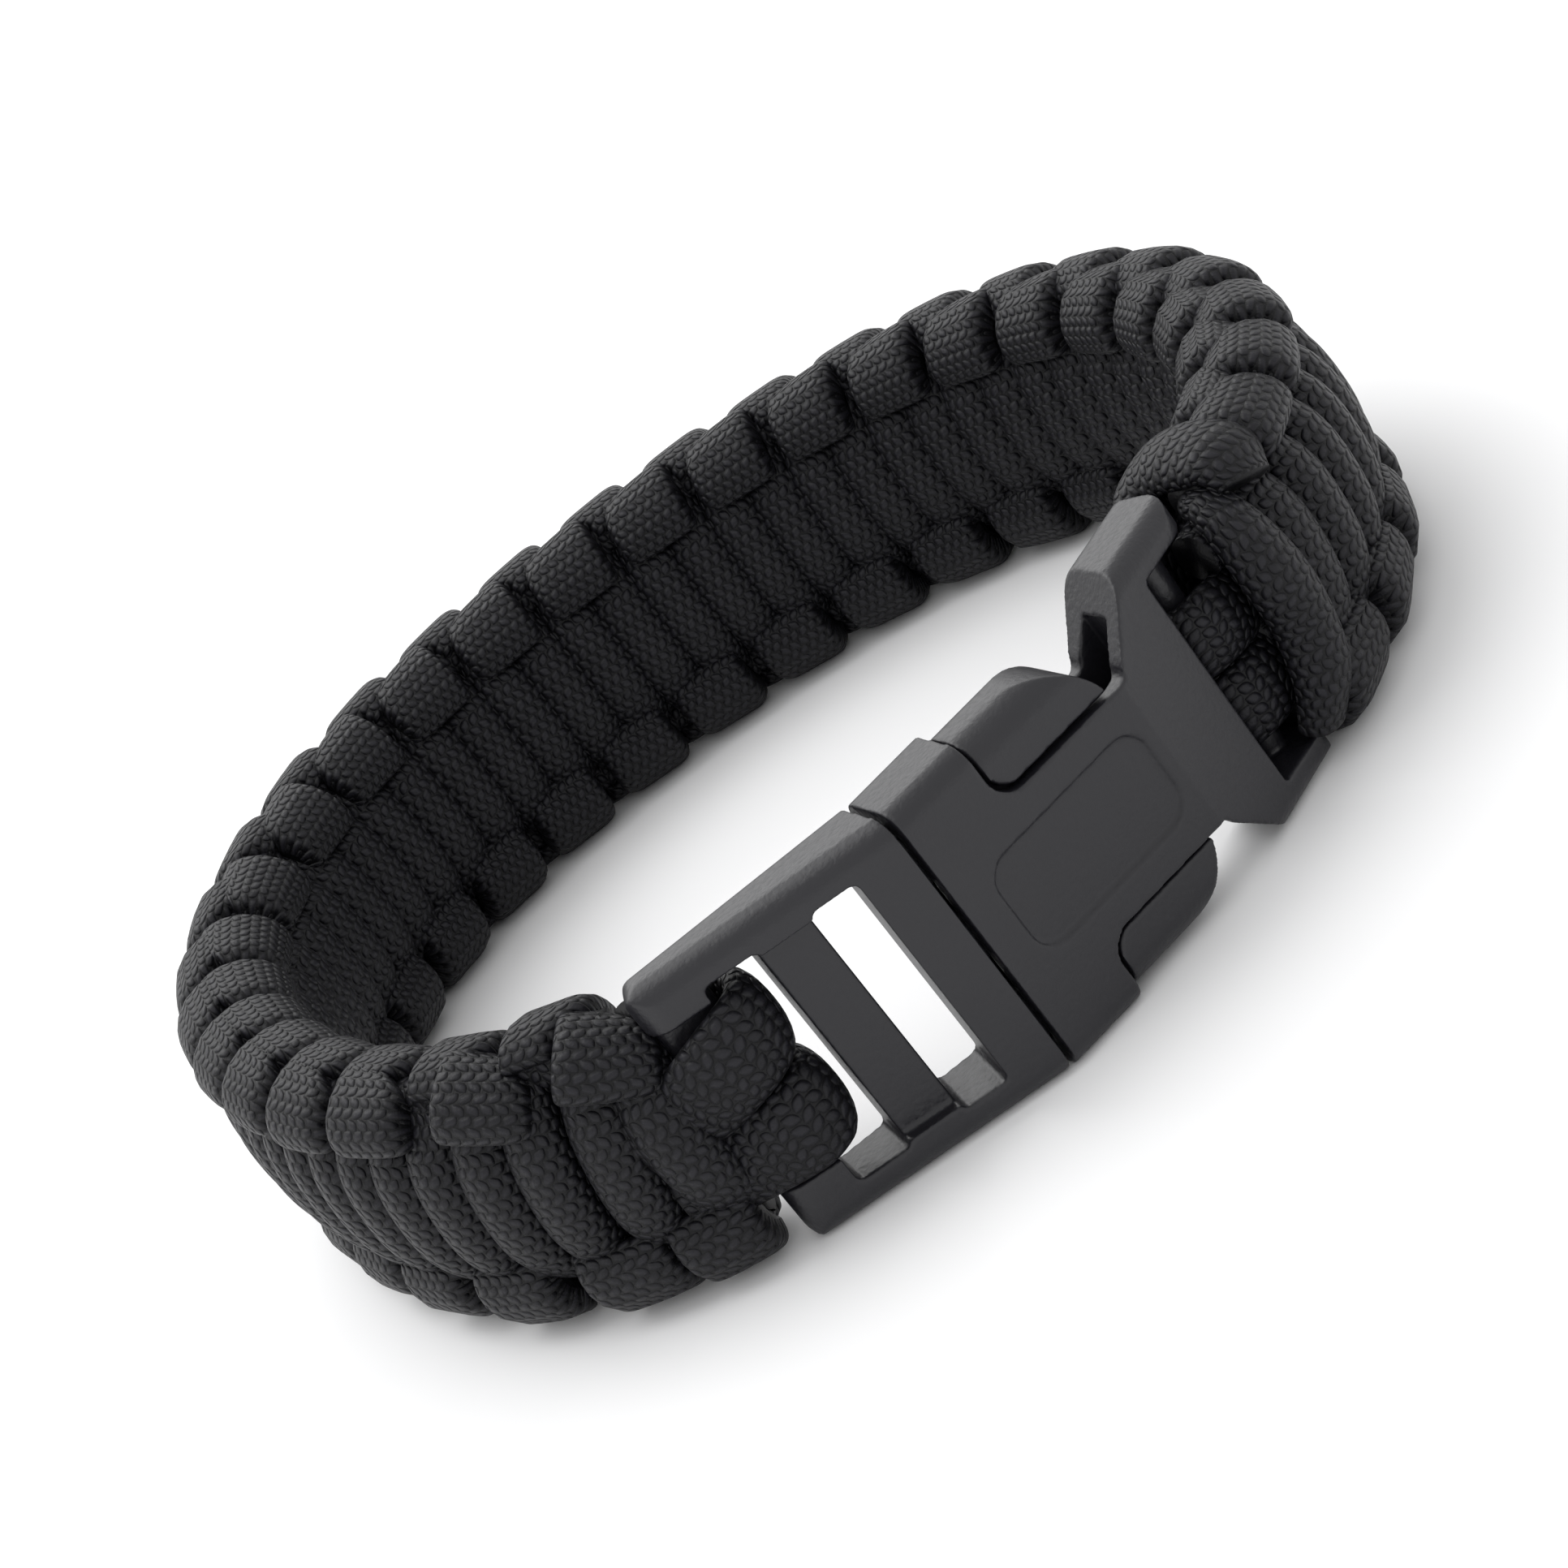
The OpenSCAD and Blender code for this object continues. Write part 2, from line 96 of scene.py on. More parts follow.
# The darker colour is painted shade for the grooves between stitches; the paler one is the yarn's colour with a
# painted highlight where a stitch crests
cordFinish = dict(paintedGrooveShade=(0.0015, 0.0015, 0.0023, 1), yarnWithPaintedHighlight=(0.0120, 0.0117, 0.0155, 1),
                  roughness=0.48, specular=0.25,
                  slant=0.42, fillWide=2.04, fillHigh=2.06, widePower=3.2, highPower=2.6, swell=0.6,  # a stitch's outline
                  leastLight=0.12, toneLight=0.45, fibreLight=0.6, patchLight=0.3,  # what makes a stitch pale: random tone, fibres and patches, scaled by the stitch's height as a painted highlight on its crest
                  crest=0.8, toneCrest=0.3, fibreCrest=0.12, relief=0.32,  # what makes it stand up
                  fibreScale=5200.0, patchScale=160.0)


def braidedCord(name, f):
    material, shader, node, calc, blendColour, plug = nodeMaker(name)
    braid = node("ShaderNodeAttribute", attribute_name="braid")
    axes = node("ShaderNodeSeparateXYZ", {0: braid.outputs["Vector"]})
    row = calc("FLOOR", axes.outputs[1])
    inRow = calc("SUBTRACT", calc("FRACT", axes.outputs[1]), 0.5)
    odd = calc("FLOORED_MODULO", row, 2.0)
    along = calc("ADD", axes.outputs[0], calc("MULTIPLY", odd, 0.5))
    inStitch = calc("SUBTRACT", calc("FRACT", along), 0.5)
    leftOrRight = calc("SUBTRACT", calc("MULTIPLY", odd, 2.0), 1.0)
    tilt = calc("MULTIPLY", calc("MULTIPLY", inStitch, f["slant"]), leftOrRight)
    widePart = calc("POWER", calc("ABSOLUTE", calc("MULTIPLY", inStitch, f["fillWide"])), f["widePower"])
    slanted = calc("MULTIPLY", calc("ADD", inRow, tilt), f["fillHigh"])
    highPart = calc("POWER", calc("ABSOLUTE", slanted), f["highPower"])
    stitch = node("ShaderNodeClamp", {0: calc("SUBTRACT", 1.0, calc("ADD", widePart, highPart))}).outputs[0]
    stitch = calc("POWER", stitch, f["swell"])
    number = node("ShaderNodeCombineXYZ", {0: calc("FLOOR", along), 1: row}).outputs[0]
    tone = node("ShaderNodeTexWhiteNoise", {"Vector": number}, noise_dimensions="3D").outputs["Value"]
    place = node("ShaderNodeTexCoord").outputs["Object"]
    fibre = node("ShaderNodeTexNoise", {"Vector": place, "Scale": f["fibreScale"], "Detail": 2.0}).outputs[0]
    patch = node("ShaderNodeTexNoise", {"Vector": place, "Scale": f["patchScale"], "Detail": 2.0}).outputs[0]
    uneven = calc("ADD", calc("MULTIPLY", fibre, f["fibreLight"]), calc("MULTIPLY", patch, f["patchLight"]))
    bright = calc("ADD", calc("MULTIPLY", tone, f["toneLight"]), uneven)
    # Painted light: a stitch is paler towards its crest as a painted highlight and darker towards its edges as
    # painted shade in the grooves, with random tone per stitch, fibres and patches on top
    lit = node("ShaderNodeClamp", {0: calc("MULTIPLY", stitch, calc("ADD", f["leastLight"], bright))}).outputs[0]
    plug(blendColour(lit, f["paintedGrooveShade"], f["yarnWithPaintedHighlight"]), "Base Color")
    crest = calc("ADD", f["crest"], calc("MULTIPLY", tone, f["toneCrest"]))
    height = calc("ADD", calc("MULTIPLY", stitch, crest), calc("MULTIPLY", fibre, f["fibreCrest"]))
    bump = node("ShaderNodeBump", {"Strength": 1.0, "Distance": f["relief"] * mm, "Height": height})
    plug(bump.outputs[0], "Normal")
    shader.inputs["Roughness"].default_value = f["roughness"]
    shader.inputs["Specular IOR Level"].default_value = f["specular"]
    return material


plasticFinish = dict(dark=(0.0065, 0.0063, 0.0088, 1), pale=(0.0105, 0.0102, 0.0138, 1),
                     grainScale=2300.0, grain=0.05,
                     waveScale=120.0, waveShare=0.6, grainShare=0.4, roughLow=0.34, roughHigh=0.46, specular=0.5)


def mouldedPlastic(name, f):
    material, shader, node, calc, blendColour, plug = nodeMaker(name)
    place = node("ShaderNodeTexCoord").outputs["Object"]
    grain = node("ShaderNodeTexNoise", {"Vector": place, "Scale": f["grainScale"], "Detail": 3.0}).outputs[0]
    wave = node("ShaderNodeTexNoise", {"Vector": place, "Scale": f["waveScale"], "Detail": 2.0}).outputs[0]
    cloud = calc("ADD", calc("MULTIPLY", wave, f["waveShare"]), calc("MULTIPLY", grain, f["grainShare"]))
    plug(blendColour(cloud, f["dark"], f["pale"]), "Base Color")
    rough = node("ShaderNodeMapRange", {"Value": grain, "To Min": f["roughLow"], "To Max": f["roughHigh"]}).outputs[0]
    plug(rough, "Roughness")
    bump = node("ShaderNodeBump", {"Strength": 1.0, "Distance": f["grain"] * mm, "Height": grain})
    plug(bump.outputs[0], "Normal")
    shader.inputs["Specular IOR Level"].default_value = f["specular"]
    return material


cordMaterial = braidedCord("braidedNylon", cordFinish)
plasticMaterial = mouldedPlastic("mouldedPlastic", plasticFinish)
print("materials made")


# The loop's middle line, seen from above, as lengths from the plug round to the socket
loop = dict(radius=40.3, oval=0.042, lean=-0.049, egg=0.029, eggTurn=-0.011, square=-0.016,
            start=234.412, end=-54.5319, centre=(-1.25264, -0.804505), middle=10.9, halfKnots=52, steps=4000)


def loopTable(d):
    angle = np.radians(np.linspace(d["start"], d["end"], d["steps"]))
    reach = d["radius"] * (1 + d["oval"] * np.cos(2 * angle) + d["lean"] * np.sin(2 * angle)
                           + d["egg"] * np.cos(3 * angle) + d["eggTurn"] * np.sin(3 * angle)
                           + d["square"] * np.cos(4 * angle))
    line = np.stack([reach * np.cos(angle), reach * np.sin(angle)], 1)
    lengths = np.concatenate([[0], np.cumsum(np.linalg.norm(np.diff(line, axis=0), axis=1))])
    ahead = np.gradient(line, axis=0)
    ahead /= np.linalg.norm(ahead, axis=1)[:, None]
    return lengths, line + np.array(d["centre"]), ahead


lengths, middleLine, aheadLine = loopTable(loop)
weaveLength = lengths[-1]
halfKnot = weaveLength / loop["halfKnots"]


def bandFrames(u):
    inside = np.clip(u, 0, weaveLength)
    ahead = np.stack([np.interp(inside, lengths, aheadLine[:, i]) for i in (0, 1)], 1)
    ahead /= np.linalg.norm(ahead, axis=1)[:, None]
    flat = np.stack([np.interp(inside, lengths, middleLine[:, i]) for i in (0, 1)], 1)
    flat += ahead * (u - inside)[:, None]
    zero = np.zeros(len(u))
    place = np.column_stack([flat, zero + loop["middle"]])
    along = np.column_stack([ahead, zero])
    out = np.column_stack([-ahead[:, 1], ahead[:, 0], zero])
    up = np.column_stack([zero, zero, zero + 1])
    return place, along, up, out


# A cord is a row of sections along a smooth path through a few keys:
# place (3), the way its outer face looks (3), width, thickness, crown
def smoothKeys(keys, step):
    keys = np.array(keys, float)
    gaps = np.linalg.norm(np.diff(keys[:, :3], axis=0), axis=1)
    t = np.concatenate([[0], np.cumsum(gaps)])
    slope = np.diff(keys, axis=0) / gaps[:, None]
    m = np.empty_like(keys)
    m[0], m[-1] = slope[0], slope[-1]
    m[1:-1] = (slope[:-1] * gaps[1:, None] + slope[1:] * gaps[:-1, None]) / (gaps[1:] + gaps[:-1])[:, None]
    s = np.linspace(0, t[-1], max(8, int(t[-1] / step)))
    i = np.clip(np.searchsorted(t, s, side="right") - 1, 0, len(gaps) - 1)
    h = gaps[i][:, None]
    x = ((s - t[i]) / gaps[i])[:, None]
    return ((2 * x**3 - 3 * x**2 + 1) * keys[i] + (x**3 - 2 * x**2 + x) * h * m[i]
            + (-2 * x**3 + 3 * x**2) * keys[i + 1] + (x**3 - x**2) * h * m[i + 1])


sectionShape = dict(points=24, power=2.5, aspect=2.2, finePoints=2001)
stitchSize = dict(across=0.92, along=0.74)
floorGap = 0.03  # no point of a cord lies lower


def sectionPoints(d):
    fine = np.linspace(0, 2 * np.pi, d["finePoints"])
    c, s = np.cos(fine), np.sin(fine)
    x = np.sign(c) * np.abs(c) ** (2 / d["power"])
    y = np.sign(s) * np.abs(s) ** (2 / d["power"])
    far = np.concatenate([[0], np.cumsum(np.hypot(np.diff(x) * d["aspect"], np.diff(y)))])
    even = np.linspace(0, far[-1], d["points"] + 1)[:-1]
    return np.interp(even, far, x), np.interp(even, far, y)


sectionX, sectionY = sectionPoints(sectionShape)


def cordSkin(place, outer, width, thick, crown):
    ahead = np.gradient(place, axis=0)
    ahead /= np.linalg.norm(ahead, axis=1)[:, None]
    outer = outer - ahead * np.sum(outer * ahead, axis=1)[:, None]
    outer /= np.linalg.norm(outer, axis=1)[:, None]
    across = np.cross(outer, ahead)
    x, y = sectionX[None, :, None], sectionY[None, :, None]
    rings = (place[:, None] + across[:, None] * x * width[:, None, None] / 2
             + outer[:, None] * (y * thick[:, None, None] / 2 + crown[:, None, None] * (0.5 - x**2)))
    far = np.concatenate([[0], np.cumsum(np.linalg.norm(np.diff(place, axis=0), axis=1))])
    girth = lengthRound(rings[len(rings) // 2])
    across = girth / girth[-1] * round(girth[-1] / stitchSize["across"])
    rows = far[:, None] / stitchSize["along"]
    return rings, np.repeat(across[None], len(far), 0), np.repeat(rows, len(across), 1)


def lengthRound(section):
    return np.concatenate([[0], np.cumsum(np.linalg.norm(np.roll(section, -1, axis=0) - section, axis=1))])


def meshVolume(mesh):
    mesh.calc_loop_triangles()
    points = np.empty(len(mesh.vertices) * 3)
    mesh.vertices.foreach_get("co", points)
    points = points.reshape(-1, 3)
    corners = np.empty(len(mesh.loop_triangles) * 3, int)
    mesh.loop_triangles.foreach_get("vertices", corners)
    a, b, c = points[corners.reshape(-1, 3)].transpose(1, 0, 2)
    return float(np.sum(a * np.cross(b, c)))


# A piece is made of skins: rings of points, and each point's place in the stitches, across and along the cord
def cordPiece(name, skins, material, replaced=()):
    points, faces, braid, first = [], [], [], 0
    for rings, across, rows in skins:
        count, around = rings.shape[:2]
        ahead = np.diff(rings.mean(axis=1), axis=0)[count // 2 - 1]
        middle = rings[count // 2] - rings[count // 2].mean(axis=0)
        if np.sum(np.cross(middle, np.roll(middle, -1, axis=0)) @ ahead) < 0:
            rings, across, rows = rings[::-1], across[::-1], rows[::-1]
        i, j = np.meshgrid(np.arange(count - 1), np.arange(around), indexing="ij")
        nextJ = (j + 1) % around
        quads = np.stack([i * around + j, i * around + nextJ, (i + 1) * around + nextJ, (i + 1) * around + j], -1)
        s, t = [np.stack([x[i, j], x[i, j + 1], x[i + 1, j + 1], x[i + 1, j]], -1) for x in (across, rows)]
        points.append(rings.reshape(-1, 3))
        faces += (quads.reshape(-1, 4) + first).tolist()
        lastRing = first + (count - 1) * around
        faces += [list(range(first + around - 1, first - 1, -1)), list(range(lastRing, lastRing + around))]
        braid.append(np.stack([s.ravel(), t.ravel(), np.zeros(s.size)], -1))
        braid.append(np.zeros((2 * around, 3)))
        first += count * around
    points = np.concatenate(points)
    points[:, 2] = np.maximum(points[:, 2], floorGap)
    mesh = bpy.data.meshes.new(name)
    mesh.from_pydata((points * mm).tolist(), [], faces)
    stitchPlaces = mesh.attributes.new("braid", "FLOAT_VECTOR", "CORNER")
    stitchPlaces.data.foreach_set("vector", np.concatenate(braid).astype(np.float32).ravel())
    mesh.polygons.foreach_set("use_smooth", np.ones(len(mesh.polygons), bool))
    mesh.materials.append(material)
    piece = bpy.data.objects.new(name, mesh)
    collection.objects.link(piece)
    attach(piece, "root")
    if replaced:
        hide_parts(*replaced)
    mesh.calc_loop_triangles()
    print(name, "triangles", len(mesh.loop_triangles), "volume", round(meshVolume(mesh) / mm**3 / 6))


def bandPoints(u, v, w):
    shape = np.shape(u)
    place, along, up, out = bandFrames(np.ravel(u))
    return (place + up * np.ravel(v)[:, None] + out * np.ravel(w)[:, None]).reshape(*shape, 3)


def bandSkin(keys, step=0.5):
    k = smoothKeys(keys, step)
    place, along, up, out = bandFrames(k[:, 0])
    outer = along * k[:, 3:4] + up * k[:, 4:5] + out * k[:, 5:6]
    return cordSkin(place + up * k[:, 1:2] + out * k[:, 2:3], outer, k[:, 6], k[:, 7], k[:, 8])


# The weave: strand A shows its bars in front and its loops behind, strand B the other way round
weave = dict(topShift=-0.4, leanPlug=0.9, leanSocket=0.8, leanFar=-0.1, leanRun=80.0, edge=10.4,
             wideFrom=38, wideOver=4, wideTop=0.9,  # half knot past which strand B's upper loops stay wide
             # height, distance out, width, thickness, crown of a bar, from its upper to its lower end
             bar=[(8.2, 0.4, 3.2, 2.0, 0.0), (6.8, 1.5, 3.9, 2.2, 0.2), (4.6, 2.75, 4.5, 2.6, 0.4),
                  (0.6, 3.5, 4.6, 2.6, 0.4), (-3.0, 3.1, 4.5, 2.6, 0.4), (-5.4, 2.0, 4.0, 2.4, 0.2),
                  (-7.0, 0.7, 3.4, 2.2, 0.0)],
             # half knots along, and how far the bars there stand from even ones, in front and behind
             frontBars=[(0, 0.3), (1, 0.33), (2, 0.5), (4, 0.6), (8, 0.6), (14, 0.4), (34, 0.35),
                        (44, 0.0)],
             backBars=[(0, 0.2), (12, 0.0), (19, 0.3), (34, 0.35), (44, 0.0)])
# A loop that hoods the band's edge: an arc, wide in front and narrow where it slips between two others
hood = dict(axis=(6.4, 0.5), radius=3.35, thick=2.2, halfLong=3.3, halfNarrow=2.0,
            startTurn=dict(front=8.0, back=-8.0, bottom=-38.0), endTurn=128.0, spanEnds=0.93, spanMiddle=0.07,
            narrowFrom=72.0, narrowTo=118.0, narrowShift=1.5, base=1.7, squareness=5.0, boxiness=0.75, tuck=0.25,
            widest=87, columns=27, points=32, pivot=8.0)
# Where the photo's loops differ from even ones: half knots along, then shift, turn in degrees, drop
frontLoops = [(0, 0.4, 26.0, 1.2), (2, 0.6, 20.0, 0.6), (4, 1.05, 4.0, 0.0), (8, 1.1, 0, 0), (14, 0.6, 0, 0),
              (20, 0.35, 0, 0), (34, 0.33, 0, 0), (42, 0.1, 0, 0), (48, -0.35, 0, 0), (50, -0.6, 0, 0)]
backLoops = [(0, 0.2, 0, 0), (6, 0.2, 0, 0), (12, -0.1, 0, 0), (16, -0.1, 0, 0), (19, 0.3, 0, 0),
             (34, 0.35, 0, 0), (42, 0.1, 0, 0), (48, -0.35, 0, 0), (52, -0.6, 0, 0)]


def smoothStep(x):
    x = min(max(x, 0.0), 1.0)
    return x * x * (3 - 2 * x)


def leanAt(k):
    u = k * halfKnot
    near = smoothStep(1 - u / weave["leanRun"])
    far = smoothStep(1 - (weaveLength - u) / weave["leanRun"])
    even = weave["leanFar"]
    return even + (weave["leanPlug"] - even) * near + (weave["leanSocket"] - even) * far


def alongAt(kTop, height):
    return (kTop + leanAt(kTop) * (weave["edge"] - height) / (2 * weave["edge"])) * halfKnot


def barKeys(n, side):
    at, shift = np.transpose(weave["frontBars" if side > 0 else "backBars"])
    k = n + weave["topShift"] + np.interp(n, at, shift)
    return [(alongAt(k, v), v, side * out, 0, 0, side, width, thick, crown)
            for v, out, width, thick, crown in weave["bar"]]


def hoodSkin(k, end, side, long=hood["halfLong"], wideTop=0.0):
    d = hood
    table = np.array(frontLoops if side > 0 else backLoops, float)
    shift, turned, drop = [np.interp(k, table[:, 0], table[:, i]) for i in (1, 2, 3)]
    if end < 0:
        turned, drop = 0.0, 0.0
    psi = np.linspace(-1, 1, d["columns"]) * math.radians(d["widest"])
    x = (np.sign(np.sin(psi)) * np.abs(np.sin(psi)) ** (2 / d["squareness"]))[:, None]
    c = (np.cos(psi) ** (2 / d["squareness"]))[:, None]
    phi = np.linspace(0, 2 * np.pi, d["points"] + 1)[:-1]
    p = np.sign(np.cos(phi)) * np.abs(np.cos(phi)) ** d["boxiness"]
    q = np.sign(np.sin(phi)) * np.abs(np.sin(phi)) ** d["boxiness"]
    start = d["startTurn"]["bottom" if end < 0 else "front" if side > 0 else "back"]
    middle, span = (start + d["endTurn"]) / 2, (d["endTurn"] - start) / 2
    turn = middle + span * p[None, :] * (d["spanEnds"] + d["spanMiddle"] * c)
    narrow = np.clip((turn - d["narrowFrom"]) / (d["narrowTo"] - d["narrowFrom"]), 0, 1)
    narrow = narrow**2 * (3 - 2 * narrow) * (1 - wideTop)
    wide = long + (d["halfNarrow"] - long) * narrow
    tucked = 1 + d["tuck"] / d["radius"] * x
    rho = d["base"] + (d["radius"] + q[None, :] * d["thick"] / 2 - d["base"]) * c * tucked
    ahead = x * wide + d["narrowShift"] * narrow
    above = d["axis"][0] + rho * np.sin(np.radians(turn)) - d["pivot"]
    w = d["axis"][1] + rho * np.cos(np.radians(turn))
    a = math.radians(turned)
    u = alongAt(k, end * d["pivot"]) + shift * halfKnot + ahead * math.cos(a) - above * math.sin(a)
    v = d["pivot"] - drop + above * math.cos(a) + ahead * math.sin(a)
    girth = np.broadcast_to(lengthRound(bandPoints(u, v, w)[d["columns"] // 2]), (d["columns"], d["points"] + 1))
    across = np.concatenate([x * wide, (x * wide)[:, :1]], 1)
    return bandPoints(u, end * v, side * w), across / stitchSize["across"], girth / stitchSize["along"]


def strandSkins(side, first, last, loops, more=()):
    skins = [bandSkin(barKeys(n, side)) for n in range(first, last)]
    for n in loops:
        end = (-1 if n % 2 == 0 else 1) * side
        wideTop = 0.0
        if side < 0 and end > 0:
            wideTop = weave["wideTop"] * smoothStep((n - weave["wideFrom"]) / weave["wideOver"])
        skins.append(hoodSkin(n + weave["topShift"] + 0.5, end, -side, wideTop=wideTop))
    return skins + list(more)


# The ends of the weave: band places in half knots along, height and distance out, then as a bar's keys
endCords = dict(
    overEdge=[(51.3, 5.6, -5.4, 0, 0.1, -1, 5.0, 2.3, 0.2), (50.9, 8.3, -5.3, 0, 0.55, -0.8, 5.8, 2.4, 0.3),
              (50.7, 9.6, -3.0, 0, 1, -0.1, 6.2, 2.5, 0.4), (50.75, 9.8, 0.0, 0, 1, 0.1, 6.4, 2.5, 0.4),
              (50.9, 9.2, 2.4, 0, 0.75, 0.7, 6.0, 2.5, 0.4), (51.1, 7.6, 3.4, 0, 0.2, 1, 4.6, 2.4, 0.3)],
    lastBar=[(51.4, 7.9, 0.2, 0, 1, 0.3, 3.0, 2.0, 0.1), (51.6, 7.6, 1.7, 0, 0.7, 0.8, 3.4, 2.2, 0.2),
             (51.78, 6.3, 3.1, 0, 0.25, 1, 4.2, 2.5, 0.4), (51.86, 4.0, 3.9, 0, 0, 1, 4.8, 2.8, 0.5),
             (51.9, -1.2, 4.1, 0, 0, 1, 5.0, 2.9, 0.6), (52.15, -5.0, 3.8, 0, -0.1, 1, 4.9, 2.8, 0.5),
             (52.4, -8.2, 2.2, 0, -0.5, 0.8, 4.4, 2.4, 0.2)],
    firstBar=[(0.1, 7.6, 0.2, 0, 0.4, 0.9, 3.6, 2.2, 0.1), (0.25, 5.8, 1.7, 0, 0.2, 1, 4.4, 2.4, 0.3),
              (0.33, 3.6, 3.2, 0, 0, 1, 4.8, 2.8, 0.5), (0.33, 0.5, 3.8, 0, 0, 1, 4.8, 2.8, 0.5),
              (0.28, -2.6, 3.6, 0, -0.1, 1, 4.6, 2.6, 0.4), (0.2, -5.2, 2.0, 0, -0.5, 0.9, 4.0, 2.4, 0.2)],
    lowerLoop=dict(place=-0.4, halfLong=2.8))


def endSkin(name):
    keys = [(k * halfKnot,) + tuple(rest) for k, *rest in endCords[name]]
    return bandSkin(keys)


endSkins = [endSkin(name) for name in ("overEdge", "lastBar", "firstBar")]
cordPiece("strandA", strandSkins(1, 1, loop["halfKnots"], range(0, 51), endSkins), cordMaterial, ["woven_band"])
lowerLoop = endCords["lowerLoop"]
lowerSkin = hoodSkin(lowerLoop["place"], -1, 1, lowerLoop["halfLong"])
cordPiece("strandB", strandSkins(-1, 0, loop["halfKnots"], range(0, 52), [lowerSkin]), cordMaterial)
print("strands made")

# The core inside the weave: height, width, how far before the weave's start it begins and past its end it stops
coreCords = dict(thick=3.0, places=120, step=1.0,
                 cords=[(-7.6, 2.8, -1.0, 1.2), (-5.4, 3.5, 0.5, 0.5), (-1.8, 3.5, 0.5, 0.5), (1.8, 3.5, 0.5, 0.5),
                        (5.4, 3.5, 0.5, 0.5), (8.0, 3.0, -1.5, -2.0)])
for number, (height, width, before, past) in enumerate(coreCords["cords"]):
    reach = np.linspace(-before, weaveLength + past, coreCords["places"])
    keys = [(u, height, 0, 0, 0, 1, width, coreCords["thick"], 0) for u in reach]
    cordPiece("coreCord%d" % (number + 1), [bandSkin(keys, coreCords["step"])], cordMaterial)
print("core made")


# The buckle: the CAD's own shape with every edge softened as a mould leaves it
buckleSkin = dict(voxel=0.165, soften=3, softenShare=0.5)


def moulded(node, name, d):
    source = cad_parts[node]
    piece = bpy.data.objects.new(name, source.data.copy())
    collection.objects.link(piece)
    remesh = piece.modifiers.new("skin", "REMESH")
    remesh.mode, remesh.voxel_size = "VOXEL", d["voxel"] * mm
    soften = piece.modifiers.new("soften", "SMOOTH")
    soften.factor, soften.iterations = d["softenShare"], d["soften"]
    shaped = bpy.data.meshes.new_from_object(piece.evaluated_get(bpy.context.evaluated_depsgraph_get()))
    piece.modifiers.clear()
    piece.data = shaped
    shaped.materials.clear()
    shaped.materials.append(plasticMaterial)
    shaped.polygons.foreach_set("use_smooth", np.ones(len(shaped.polygons), bool))
    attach(piece, "root")
    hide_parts(node)
    shaped.calc_loop_triangles()
    print(name, "triangles", len(shaped.loop_triangles))


moulded("buckle_plug", "bucklePlug", buckleSkin)
moulded("buckle_socket", "buckleSocket", buckleSkin)


# Cords round the buckle's bars, in each half's own frame: along, into the buckle, up
buckleFrame = dict(seam=(-6.0637, -43.0306), plugSlope=-18.9, socketSlope=4.7, socketLength=17.2, headBend=20.0)


def buckleAxes(which):
    d = buckleFrame
    seam = np.array([d["seam"][0], d["seam"][1], loop["middle"]])
    slope = math.radians(d["plugSlope"] if which == "plug" else d["socketSlope"])
    if which == "head":
        seam = seam + d["socketLength"] * np.array([math.cos(slope), math.sin(slope), 0])
        slope += math.radians(d["headBend"])
    axes = np.array([[math.cos(slope), math.sin(slope), 0], [-math.sin(slope), math.cos(slope), 0], [0, 0, 1]])
    return seam, axes


def buckleSkinOf(which, keys, step=0.4):
    k = smoothKeys(keys, step)
    origin, axes = buckleAxes(which)
    return cordSkin(origin + k[:, :3] @ axes, k[:, 3:6] @ axes, k[:, 6], k[:, 7], k[:, 8])


plugWraps = dict(
    upper=[(-25.0, 1.6, 1.4, 0, -1, 0, 5.6, 2.3, 0.2), (-21.0, 0.4, 2.0, 0, -1, 0, 6.0, 2.3, 0.3),
           (-18.0, -0.45, 3.2, 0, -1, 0, 6.4, 2.3, 0.3), (-15.6, -0.2, 3.9, 0.25, -0.95, 0, 6.6, 2.3, 0.3),
           (-14.1, 1.0, 4.1, 0.8, -0.6, 0, 6.6, 2.3, 0.2), (-13.9, 2.4, 4.1, 1, 0, 0, 6.6, 2.3, 0.2),
           (-14.6, 4.2, 4.0, 0.7, 0.7, 0, 6.6, 2.3, 0.2), (-17.0, 5.0, 3.9, 0, 1, 0, 6.4, 2.3, 0.2),
           (-25.0, 5.0, 2.6, 0, 1, 0, 6.0, 2.3, 0.2)],
    lower=[(-25.0, 2.0, -3.4, 0, -1, 0, 5.6, 2.3, 0.2), (-21.0, 1.0, -3.4, 0, -1, 0, 6.0, 2.3, 0.3),
           (-18.0, 0.1, -3.1, 0, -1, 0, 6.4, 2.3, 0.3), (-15.6, -0.1, -2.9, 0.25, -0.95, 0, 6.6, 2.3, 0.3),
           (-14.1, 1.0, -2.8, 0.8, -0.6, 0, 6.6, 2.3, 0.2), (-13.9, 2.4, -2.8, 1, 0, 0, 6.6, 2.3, 0.2),
           (-14.6, 4.2, -2.8, 0.7, 0.7, 0, 6.6, 2.3, 0.2), (-17.0, 5.0, -2.8, 0, 1, 0, 6.4, 2.3, 0.2),
           (-25.0, 5.0, -2.4, 0, 1, 0, 6.0, 2.3, 0.2)])
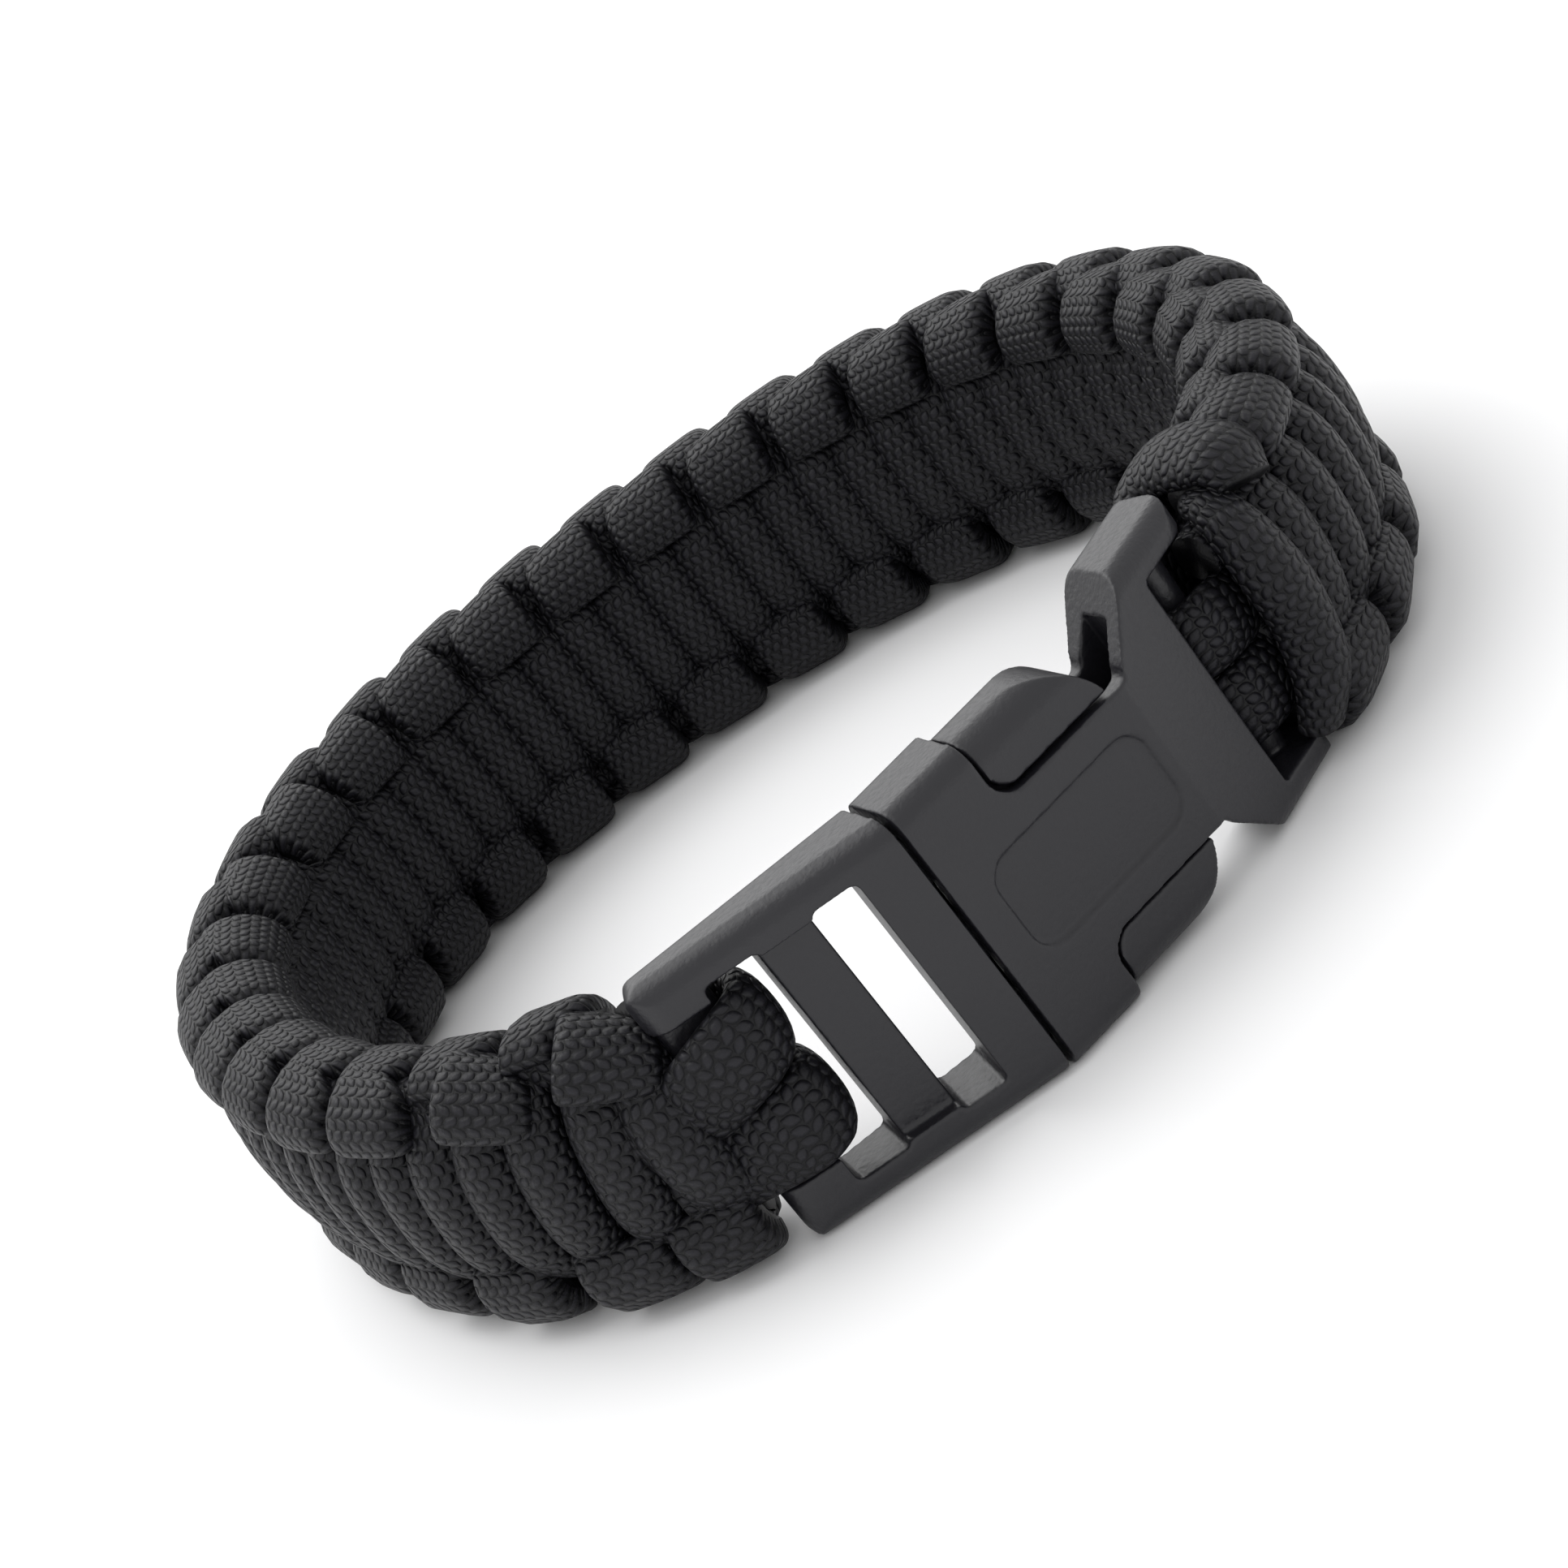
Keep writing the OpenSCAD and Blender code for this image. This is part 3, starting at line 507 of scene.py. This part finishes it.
socketWraps = dict(
    upper=[(18.5, 1.6, 0.6, 0, -1, 0, 4.8, 2.3, 0.2), (13.5, 1.4, 1.2, 0, -1, 0, 5.2, 2.3, 0.3),
           (10.8, 1.1, 1.8, 0, -1, 0, 5.4, 2.3, 0.3), (8.6, 2, 1.9, -0.8, -0.6, 0, 5.4, 2.3, 0.2),
           (8.1, 3.6, 2.1, -1, 0, 0, 5.8, 2.3, 0.2), (8.6, 5.2, 2.9, -0.8, 0.6, 0, 6.8, 2.3, 0.2),
           (10.8, 6.1, 3.9, 0, 1, 0, 7.6, 2.3, 0.2), (18.5, 6, 3.9, 0, 1, 0, 7.6, 2.3, 0.2)],
    lower=[(18.5, 1.6, -3.6, 0, -1, 0, 5.2, 2.3, 0.2), (13.5, 1.4, -3.7, 0, -1, 0, 5.6, 2.3, 0.3),
           (10.8, 1.1, -3.8, 0, -1, 0, 5.6, 2.3, 0.3), (8.6, 2, -3.8, -0.8, -0.6, 0, 5.6, 2.3, 0.2),
           (8.1, 3.6, -3.9, -1, 0, 0, 5.8, 2.3, 0.2), (8.6, 5.2, -4.3, -0.8, 0.6, 0, 6.6, 2.3, 0.2),
           (10.8, 6.1, -4.8, 0, 1, 0, 7.4, 2.3, 0.2), (18.5, 6, -4.8, 0, 1, 0, 7.4, 2.3, 0.2)])
for which, wraps, node in (("plug", plugWraps, "plug_wrap_"), ("head", socketWraps, "socket_wrap_")):
    for level, keys in wraps.items():
        name = node.split("_")[0] + "Wrap" + level.capitalize()
        cordPiece(name, [buckleSkinOf(which, keys)], cordMaterial, [node + level])
print("wraps made")


# A plain pale floor and soft studio light
studio = dict(floorSize=3.0, floorColour=(0.93, 0.93, 0.935, 1), floorRoughness=0.9, world=0.95,
              lights=[("overhead", (-0.25, 0.25, 0.75), (0.7, 0.7), 3.0),
                      ("behind", (0.05, 0.85, 0.5), (0.9, 0.45), 2.5)])


def makeStudio(d):
    half = d["floorSize"] / 2
    mesh = bpy.data.meshes.new("floor")
    mesh.from_pydata([(-half, -half, 0), (half, -half, 0), (half, half, 0), (-half, half, 0)], [], [(0, 1, 2, 3)])
    floor = bpy.data.objects.new("floor", mesh)
    collection.objects.link(floor)
    material, shader = nodeMaker("paleFloor")[:2]
    shader.inputs["Base Color"].default_value = d["floorColour"]
    shader.inputs["Roughness"].default_value = d["floorRoughness"]
    mesh.materials.append(material)
    world = bpy.data.worlds.new("studio")
    world.use_nodes = True
    world.node_tree.nodes["Background"].inputs[0].default_value = (1, 1, 1, 1)
    world.node_tree.nodes["Background"].inputs[1].default_value = d["world"]
    bpy.context.scene.world = world
    bpy.context.scene.view_settings.view_transform = "Standard"
    for name, place, size, power in d["lights"]:
        data = bpy.data.lights.new(name, "AREA")
        data.shape, data.size, data.size_y, data.energy = "RECTANGLE", size[0], size[1], power
        lamp = bpy.data.objects.new(name, data)
        collection.objects.link(lamp)
        lamp.location = place
        lamp.rotation_euler = (-lamp.location).to_track_quat("-Z", "Y").to_euler()


makeStudio(studio)
print("studio made")
